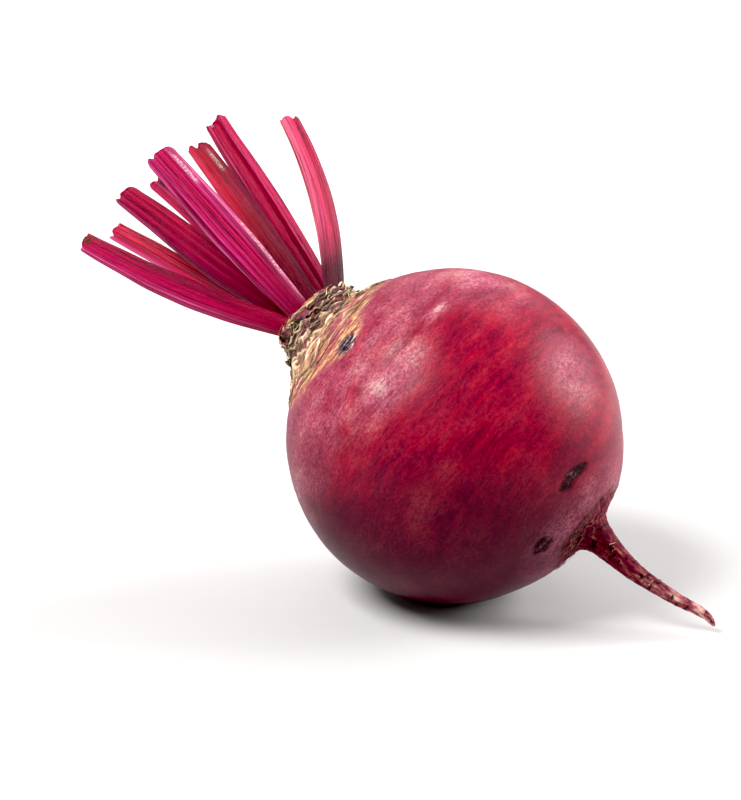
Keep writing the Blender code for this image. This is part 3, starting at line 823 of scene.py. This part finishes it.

# foot (clock, distance), heading, rise, length, widths (foot, widest place, tip), thickness, bow, face (the
# clock that the round side looks to), slant of the cut: near the CAD source's, but closer to the outline.
# tint: colours across, from its low side (-1) to its high one (1): the peel's stripes, among them pale lines
# that are painted highlight. notches: across, half width, depth.
# spots: across, mm below the cut, half width across (1 = half the stalk), half length in mm
stalks = {
    "stalkLowest": {
        "node": "stalk_lowest", "foot": (-120, 7.9), "heading": 168.5, "rise": 20.6, "length": 52.5,
        "widths": (5.2, 6.9, 4.9), "thick": 4.4, "bow": 1.9, "face": -90, "slant": 0, "seed": 3,
        "tint": [
            # the pale stop at -0.38 is a painted highlight line
            (-1.0, "BF1E63"), (-0.62, "CB2871"), (-0.5, "8B063D"), (-0.38, "E7619F"), (-0.25, "BF0A60"),
            (0.2, "AE0347"), (1.0, "8B022C"),
        ],
        "notches": [(-0.25, 0.22, 0.35)], "spots": [(0.6, 1.0, 0.35, 1.3)], "footTintAndShade": "8C0630",
    },
    "stalkBackLeft": {
        "node": "stalk_back_left", "foot": (179, 7.5), "heading": 150.5, "rise": 19.8, "length": 55.3,
        "widths": (5.6, 7.7, 6.4), "thick": 3.8, "face": -115, "slant": 16, "seed": 5,
        "scab": ("C0506C", "E090A0", "F0C0BC"),
        "tint": [
            (-1.0, "F8A0BC"), (-0.8, "F070A0"), (-0.35, "E03C82"), (-0.05, "D01464"), (0.2, "C20848"),
            (0.6, "BC0428"), (1.0, "CC2438"),
        ],
        "notches": [(0.05, 0.22, 1.0)], "spots": [(-0.75, 28.0, 0.22, 6.0)], "footTintAndShade": "84062C",
    },
    "stalkFrontLeft": {
        "node": "stalk_front_left", "foot": (-135, 4.4), "heading": 161.5, "rise": 33.0, "length": 51.4,
        "widths": (4.6, 7.8, 5.8), "thick": 4.4, "face": -62, "slant": 13, "seed": 8,
        "footReach": (0.05, 0.6), "ribPink": 0.35,
        "tint": [
            (-1.0, "AC2D5E"), (-0.85, "B43A68"), (-0.7, "8C1044"), (-0.4, "930636"), (-0.28, "A8244E"),
            (-0.2, "80032C"), (0.1, "87032B"), (0.3, "9C1C42"), (0.38, "7C0428"), (0.65, "9A0330"),
            (1.0, "79062B"),
        ],
        "notches": [(-0.5, 0.2, 0.9)], "footTintAndShade": "5E0424",
    },
    "stalkInnerLeft": {
        "node": "stalk_inner_left", "foot": (156, 1.8), "heading": 149.5, "rise": 33.2, "length": 50.5,
        "widths": (3.6, 5.0, 5.0), "thick": 3.4, "face": -59, "slant": 12, "seed": 12,
        "scab": ("341018", "4E2030", "74505A"), "footReach": (0.1, 0.7), "ribPink": 0.3,
        "tint": [(-1.0, "BC1F57"), (-0.4, "9E063A"), (-0.2, "B42E5C"), (-0.05, "8C0432"), (1.0, "810329")],
        "notches": [(0.0, 0.2, 0.8)], "spots": [(0.2, 2.0, 0.35, 1.3)], "footTintAndShade": "5A0420",
    },
    "stalkFront": {
        "node": "stalk_front", "foot": (-69, 7.3), "heading": 156, "rise": 43.2, "length": 50.0,
        "widths": (5.8, 8.3, 7.3), "thick": 4.6, "bow": 0.4, "face": -59, "slant": 8, "seed": 21,
        "scab": ("9A3A64", "C07890", "DCAEB8"), "ribPink": 0.75,
        "tint": [
            (-1.0, "D36997"), (-0.82, "C3246D"), (-0.68, "8A0A44"), (-0.58, "C42E74"), (-0.42, "C42060"),
            (-0.3, "8A063A"), (-0.18, "CC3070"), (-0.02, "A80840"), (0.12, "90043A"), (0.24, "C41C58"),
            (0.36, "80062E"), (0.48, "B02060"), (0.58, "CC3C7C"), (0.66, "8C0C40"), (0.76, "C43A78"),
            (0.86, "D8689A"), (1.0, "A83A6C"),
        ],
        "notches": [(-0.45, 0.14, 0.8)], "spots": [(0.66, 7.0, 0.14, 5.5), (0.93, 37.0, 0.12, 12.0)],
        "footTintAndShade": "7A0630",
    },
    "stalkInnerRight": {
        "node": "stalk_inner_right", "foot": (23, 2.6), "heading": 135.5, "rise": 38.2, "length": 51.5,
        "widths": (4.2, 6.8, 5.8), "thick": 3.6, "face": -30, "slant": 18, "seed": 33,
        "scab": ("6A2A30", "9C7068", "C4A898"), "footReach": (0.1, 0.6), "ribPink": 0.12,
        "tint": [(-1.0, "C83050"), (-0.6, "A80C28"), (-0.2, "8A0216"), (0.3, "7A021E"), (1.0, "640226")],
        "notches": [(-0.35, 0.2, 1.6)], "spots": [(0.32, 6.5, 0.18, 4.6)], "footTintAndShade": "580420",
    },
    "stalkBackRight": {
        "node": "stalk_back_right", "foot": (76, 7.3), "heading": 129.5, "rise": 39.0, "length": 59.15,
        "widths": (5.8, 7.7, 6.2), "thick": 4.0, "bow": 0.2, "face": 100, "slant": -2, "seed": 41,
        "tint": [
            (-1.0, "A41746"), (-0.64, "CB3763"), (-0.5, "9C0636"), (-0.1, "98022F"), (0.3, "A80840"),
            (0.46, "8E0430"), (0.56, "CC4474"), (0.64, "88042C"), (0.85, "900632"), (0.94, "BC3C6C"),
            (1.0, "981040"),
        ],
        "notches": [(0.45, 0.16, 1.5)], "footTintAndShade": "6A0428",
    },
    "stalkRight": {
        "node": "stalk_right", "foot": (29, 8.3), "heading": 117.5, "rise": 56.7, "length": 44.35,
        "widths": (5.4, 6.0, 5.1), "thick": 3.8, "bow": 2.6, "face": -15, "slant": 5, "seed": 52,
        "scab": ("4A1E20", "6C3A30", "8C5A48"), "footReach": (0.1, 0.32), "ribPink": 0.5,
        "tint": [
            (-1.0, "DC6A80"), (-0.55, "D84A70"), (0.0, "C82850"), (0.3, "96082E"), (0.55, "C84064"),
            (1.0, "A82448"),
        ],
        "notches": [(0.05, 0.2, 0.9)], "spots": [(0.8, 0.8, 0.35, 1.2)], "footTintAndShade": "160A0E",
    },
    "stalkBack": {
        "node": "stalk_back", "foot": (125, 7.3), "heading": 122, "rise": 20.0, "length": 52.0,
        "widths": (5.6, 6.4, 5.2), "thick": 4.2, "bow": 0.6, "face": 125, "slant": 10, "seed": 61,
        "ribPink": 0.5, "tint": [(-1.0, "BF2465"), (-0.3, "A4053D"), (0.4, "B00A46"), (1.0, "CD467B")],
        "notches": [(0.2, 0.2, 1.0)], "footTintAndShade": "6A0428",
    },
    "stalkInnerBack": {
        "node": "stalk_inner_back", "foot": (111, 4.2), "heading": 131, "rise": 26.0, "length": 46.0,
        "widths": (3.6, 4.6, 4.2), "thick": 3.4, "face": 143, "slant": -12, "seed": 70,
        "footReach": (0.1, 0.7), "ribPink": 0.4, "tint": [(-1.0, "B41F57"), (0.0, "960533"), (1.0, "AC1141")],
        "notches": [(-0.2, 0.2, 1.2)], "footTintAndShade": "580420",
    },
}
stalkMasks = ("across", "rib", "below", "cut", "spot")


def sectionPoint(angle, width, thickness, ribs):  # round face from 0 to 180 degrees, grooved face beyond
    rib = sum(height * hump(angle, middle, wide) for middle, wide, height in ribs)
    reach = stalkForm["between"] + rib
    across = math.cos(math.radians(angle))
    if angle <= 180:
        return width / 2 * across * reach, thickness / 2 * math.sin(math.radians(angle)) * reach, rib
    wing, high = stalkForm["wing"], stalkForm["wingHeight"]
    if abs(across) < wing:
        depth = high - stalkForm["grooveDepth"] * fade(abs(across), wing, 0.0)
    else:
        depth = high * math.sqrt(max(0.0, 1 - ((abs(across) - wing) / (1 - wing)) ** 2))
    return width / 2 * across * reach, -thickness * depth * (0.95 + rib), rib


def squareTo(vector, direction):
    return (vector - direction * vector.dot(direction)).normalized()


def makeStalk(name, stalk, look):
    dice = random.Random(stalk["seed"])
    footClock, footRadius = stalk["foot"]
    foot = clockWay(footClock) * footRadius
    foot.z = eased(stalkForm["footTop"], footRadius)
    foot = wandered(foot)
    rise = math.radians(stalk["rise"])
    direction = clockWay(stalk["heading"]) * math.cos(rise) + Vector((0.0, 0.0, math.sin(rise)))
    direction = laidOver().to_3x3().inverted() @ direction
    bowed = squareTo(clockWay(footClock), direction)
    face = squareTo(clockWay(stalk["face"]), direction)
    across = direction.cross(face)
    length, sink, widest = stalk["length"], stalkForm["sink"], stalkForm["widest"]
    widths = list(zip((0.0, widest, 1.0), stalk["widths"]))
    thicks = [(0.0, stalkForm["footShare"]), (widest, 1.0), (1.0, stalkForm["tipShare"])]
    ribs = []
    at = dice.uniform(*stalkForm["ribsFrom"])
    while at < 352:
        ribs.append((at, dice.uniform(*stalkForm["ribWide"]), dice.uniform(*stalkForm["ribHigh"])))
        at += dice.uniform(*stalkForm["ribGap"])

    mesh = bmesh.new()
    bmesh.ops.create_grid(mesh, x_segments=stalkForm["around"], y_segments=stalkForm["rings"], size=1.0)
    straight = mesh.verts.layers.float_vector.new("straight")
    layers = {key: mesh.verts.layers.float.new(key) for key in stalkMasks}

    def placeAt(vert, x, y, far):  # the stalk's own (across, outward, along) in mm, to the root's frame
        along = far / length
        middle = foot + direction * far + bowed * (4 * stalk["bow"] * along * (1 - along))
        vert[straight] = Vector((x, y, far))
        vert.co = middle + across * x + face * y

    for vert in mesh.verts:
        angle, far = 180 * (vert.co.x + 1), -sink + (length + sink) * (vert.co.y + 1) / 2
        width = eased(widths, far / length)
        x, y, rib = sectionPoint(angle, width, stalk["thick"] * eased(thicks, far / length), ribs)
        spread = min(max(2 * x / width, -1.0), 1.0)
        x += stalkForm["wander"] * rough(Vector((0.0, stalk["seed"], far)), 9.0)
        y += stalkForm["wander"] * rough(Vector((stalk["seed"], 3.0, far)), 11.0)
        tip = -x * math.tan(math.radians(stalk["slant"])) - stalkForm["round"] * abs(spread) ** 8
        tip -= sum(depth * hump(spread, middle, half) for middle, half, depth in stalk["notches"])
        tip += 0.12 * rough(Vector((x, y, stalk["seed"])), 0.7)
        spot = 0.0
        uneven = 0.5 * rough(Vector((x, y, far)), 0.8, 2.0) + 0.4 * rough(Vector((x, y, far)), 2.2, 2.0)
        for middle, below, halfAcross, halfAlong in stalk["spots"] if y > -0.6 else ():  # on the round face
            off = ((spread - middle) / halfAcross) ** 2 + ((length - far - below) / halfAlong) ** 2
            spot = max(spot, fade(off + uneven, 1.2, 0.6))
        vert[layers["across"]] = (spread + 1) / 2
        vert[layers["rib"]] = min(rib / stalkForm["ribHigh"][1], 1.0)
        vert[layers["below"]] = min(max(far / length, 0.0), 1.0)
        vert[layers["spot"]] = spot
        placeAt(vert, x, y, far + tip * fade(far, length - stalkForm["ragged"], length))
    bmesh.ops.remove_doubles(mesh, verts=mesh.verts, dist=1e-3)

    loose = [edge for edge in mesh.edges if edge.is_boundary]
    tipEdges = [edge for edge in loose if (edge.verts[0].co - foot).dot(direction) > length / 2]
    bmesh.ops.holes_fill(mesh, edges=[edge for edge in loose if edge not in tipEdges])
    rim = list({vert for edge in tipEdges for vert in edge.verts})
    middle = sum((vert[straight] for vert in rim), Vector()) / len(rim)
    shares = [1.0] + list(stalkForm["capRings"])
    for before, share in zip(shares, shares[1:]):  # the cut face, a little hollow
        grown = bmesh.ops.extrude_edge_only(mesh, edges=tipEdges)["geom"]
        tipEdges = [piece for piece in grown if isinstance(piece, bmesh.types.BMEdge) and piece.is_boundary]
        for vert in {vert for edge in tipEdges for vert in edge.verts}:
            here = vert[straight].lerp(middle, 1 - share / before)
            vert[layers["cut"]] = 1.0
            placeAt(vert, here.x, here.y, here.z - 0.10 - 0.12 * rough(here, 0.5, 3.0))
    bmesh.ops.holes_fill(mesh, edges=tipEdges)
    bmesh.ops.poke(mesh, faces=[f for f in mesh.faces if len(f.verts) > 4])
    return finishPiece(name, mesh, look, [stalk["node"]])


stalkTones = {
    # dark streaks are partly painted shade of the grooves; rib crests are pink, partly painted highlight
    "groove": "540224",
    "pinkCrestAndSheen": "E45C92",
    "blush": "B00540",
    "cut": [(0.38, "6E1030"), (0.5, "B04068"), (0.62, "D890A0")],  # the wet cut end
}


def stalkLook(name, stalk):  # fresh petiole, thin peel over wet ribs: satin, pink on the ribs with painted highlight along them, dark between with painted shade
    made, tree, shader = newMaterial("leafStalkPeel_" + name)
    place = addNode(tree, "Attribute", out="Vector", attribute_name="straight")  # mm
    masks = {name: addNode(tree, "Attribute", out="Fac", attribute_name=name) for name in stalkMasks}
    stretched = addNode(tree, "Mapping", {"Vector": place, "Scale": (1.0, 1.0, 0.012)})  # streaks run along
    patches = addNode(tree, "Mapping", {"Vector": place, "Scale": (1.0, 1.0, 0.15)})
    streaks = addNode(tree, "TexNoise", [stretched, 1 / 0.6, 4.0, 0.7])
    blush = addNode(tree, "TexNoise", [patches, 1 / 1.5, 3.0, 0.6])
    specks = addNode(tree, "TexNoise", [place, 1 / 0.5, 3.0, 0.7])
    stops = [((at + 1) / 2, tone) for at, tone in stalk["tint"]]
    tint = addNode(tree, "ValToRGB", [masks["across"]], stops=stops)
    scab = addNode(tree, "ValToRGB", [specks], stops=list(zip((0.38, 0.5, 0.64), stalk["scab"])))
    wet = addNode(tree, "ValToRGB", [specks], stops=stalkTones["cut"])

    # dark streaks, partly painted shade of the grooves; rib crests pinker, partly painted highlight; redder
    # patches; and darker towards the foot, partly painted shade
    groove = addNode(tree, "MapRange", [streaks, 0.43, 0.52, 0.8, 0.0])
    pinkCrestAndSheen = addNode(tree, "MapRange", [masks["rib"], 0.62, 0.95, 0.0, stalk["ribPink"]])
    broken = addNode(tree, "MapRange", [blush, 0.4, 0.58, 0.35, 1.2])
    pinkCrestAndSheen = addNode(tree, "Math", [pinkCrestAndSheen, broken], operation="MULTIPLY", use_clamp=True)
    redder = addNode(tree, "MapRange", [blush, 0.45, 0.7, 0.0, 0.4])
    foot = addNode(tree, "MapRange", [masks["below"], *stalk["footReach"], 0.85, 0.0])
    layers = [
        (groove, fromHex(stalkTones["groove"])), (pinkCrestAndSheen, fromHex(stalkTones["pinkCrestAndSheen"])),
        (redder, fromHex(stalkTones["blush"])), (foot, fromHex(stalk["footTintAndShade"])),
        (masks["spot"], scab), (masks["cut"], wet),
    ]
    for share, tone in layers:
        tint = addNode(tree, "Mix", [share, tint, tone], data_type="RGBA")
    tree.links.new(tint, shader.inputs["Base Color"])

    gloss = addNode(tree, "MapRange", [streaks, 0.35, 0.65, 0.28, 0.4])
    gloss = addNode(tree, "Mix", [masks["spot"], gloss, 0.8], data_type="FLOAT")
    tree.links.new(gloss, shader.inputs["Roughness"])
    shader.inputs["IOR"].default_value = 1.36
    shader.inputs["Specular IOR Level"].default_value = 0.3
    height = addNode(tree, "Math", [streaks, 3.0, specks], operation="MULTIPLY_ADD")
    bump = addNode(tree, "Bump", {"Height": height, "Strength": 0.7, "Distance": 0.25 * mm})
    tree.links.new(bump, shader.inputs["Normal"])
    return made


# studio: pale floor, soft lights, camera, in metres

studio = {
    "floorSize": 6.0,
    "floorColour": "C8C7C6",  # light paper, lit until it is white
    "farColour": "A8A6A6",  # grey in front and on the left, outside the picture, so the underside stays dark
    "greyFront": (-0.12, -0.40),
    "greyLeft": (-0.15, -0.55),
    "floorGlow": (0.10, 0.50, 0.6),  # lit from below too: from this far out, full by here, how strong
    "greyGlow": 0.5,  # share of that glow where the floor is grey
    "sky": 0.2,
    "lights": [  # name, place, aim, width, height, watts
        ("keyLight", (-0.485, -0.27, 0.755), (0.0, 0.0, 0.045), 0.45, 0.40, 13.0),
        ("rightLight", (0.70, 0.16, 0.38), (0.0, 0.0, 0.045), 0.58, 0.50, 10.0),
        ("topLight", (0.1, 0.55, 0.87), (0.0, 0.0, 0.045), 0.9, 0.45, 3.0),
        ("floorLight", (0.0, 1.6, 0.7), (0.0, 1.6, 0.0), 2.4, 0.7, 14.0),
    ],
    "blackLevel": 0.014,  # takes off the haze, as the camera's contrast does
    "lens": 100.0,  # mm, on a sensor this wide
    "sensor": 36.0,
    "camera": (-0.01976, -0.49757, 0.20963),
    "tilt": 72.0,
}
white = (1.0, 1.0, 1.0, 1.0)


def paperLook():  # matt paper, no gloss: white where it is lit, grey further off, and glowing further out as if lit from below
    made, tree, shader = newMaterial("mattPaper")
    place = addNode(tree, "TexCoord", out="Object")
    parts = tree.nodes.new("ShaderNodeSeparateXYZ")
    tree.links.new(place, parts.inputs[0])
    slanted = addNode(tree, "Math", [parts.outputs["Y"], 0.2, parts.outputs["X"]], operation="MULTIPLY_ADD")
    front = addNode(tree, "MapRange", [parts.outputs["Y"], *studio["greyFront"], 1.0, 0.0])
    left = addNode(tree, "MapRange", [slanted, *studio["greyLeft"], 1.0, 0.0])
    sheet = addNode(tree, "Math", [front, left], operation="MULTIPLY")
    tones = [fromHex(studio[key]) for key in ("farColour", "floorColour")]
    colour = addNode(tree, "Mix", [sheet, *tones], data_type="RGBA")
    tree.links.new(colour, shader.inputs["Base Color"])
    shader.inputs["Roughness"].default_value = 0.9
    shader.inputs["Emission Color"].default_value = white
    near, far, strength = studio["floorGlow"]
    away = addNode(tree, "VectorMath", [place], out="Value", operation="LENGTH")
    glow = addNode(tree, "MapRange", [away, near, far, 0.0, strength])
    kept = addNode(tree, "MapRange", [sheet, 0.0, 1.0, studio["greyGlow"], 1.0])
    glow = addNode(tree, "Math", [glow, kept], operation="MULTIPLY")
    tree.links.new(glow, shader.inputs["Emission Strength"])
    return made


def makeStudio():
    mesh = bmesh.new()
    bmesh.ops.create_grid(mesh, x_segments=1, y_segments=1, size=studio["floorSize"] / 2)
    data = bpy.data.meshes.new("paleFloor")
    mesh.to_mesh(data)
    mesh.free()
    data.materials.append(paperLook())
    floor = bpy.data.objects.new("paleFloor", data)
    bpy.context.scene.collection.objects.link(floor)

    world = bpy.data.worlds.new("studioSky")
    world.use_nodes = True
    background = world.node_tree.nodes["Background"]
    background.inputs["Color"].default_value = white
    background.inputs["Strength"].default_value = studio["sky"]
    bpy.context.scene.world = world
    for name, place, aim, wide, tall, watts in studio["lights"]:
        lamp = bpy.data.lights.new(name, "AREA")
        lamp.shape, lamp.size, lamp.size_y, lamp.energy = "RECTANGLE", wide, tall, watts
        holder = bpy.data.objects.new(name, lamp)
        holder.location = place
        holder.rotation_euler = (Vector(place) - Vector(aim)).to_track_quat("Z", "Y").to_euler()
        bpy.context.scene.collection.objects.link(holder)

    lens = bpy.data.cameras.new("camera")
    lens.lens = studio["lens"]
    lens.sensor_width = studio["sensor"]
    lens.clip_start = 0.01
    camera = bpy.data.objects.new("camera", lens)
    camera.location = studio["camera"]
    camera.rotation_euler = (math.radians(studio["tilt"]), 0.0, 0.0)
    bpy.context.scene.collection.objects.link(camera)
    bpy.context.scene.camera = camera
    view = bpy.context.scene.view_settings
    view.view_transform = "Standard"
    view.use_curve_mapping = True
    view.curve_mapping.black_level = [studio["blackLevel"]] * 3
    view.curve_mapping.update()


print("root")
makeRoot(skinLook())
print("collar")
bark = collarLook()
makeRing(bark)
makeFlaps(bark)
makeFibres(bark)
makeRootlets(bark)
print("stalks")
for name, own in stalks.items():
    stalk = {**usualStalk, **own}
    makeStalk(name, stalk, stalkLook(name, stalk))
print("studio")
makeStudio()
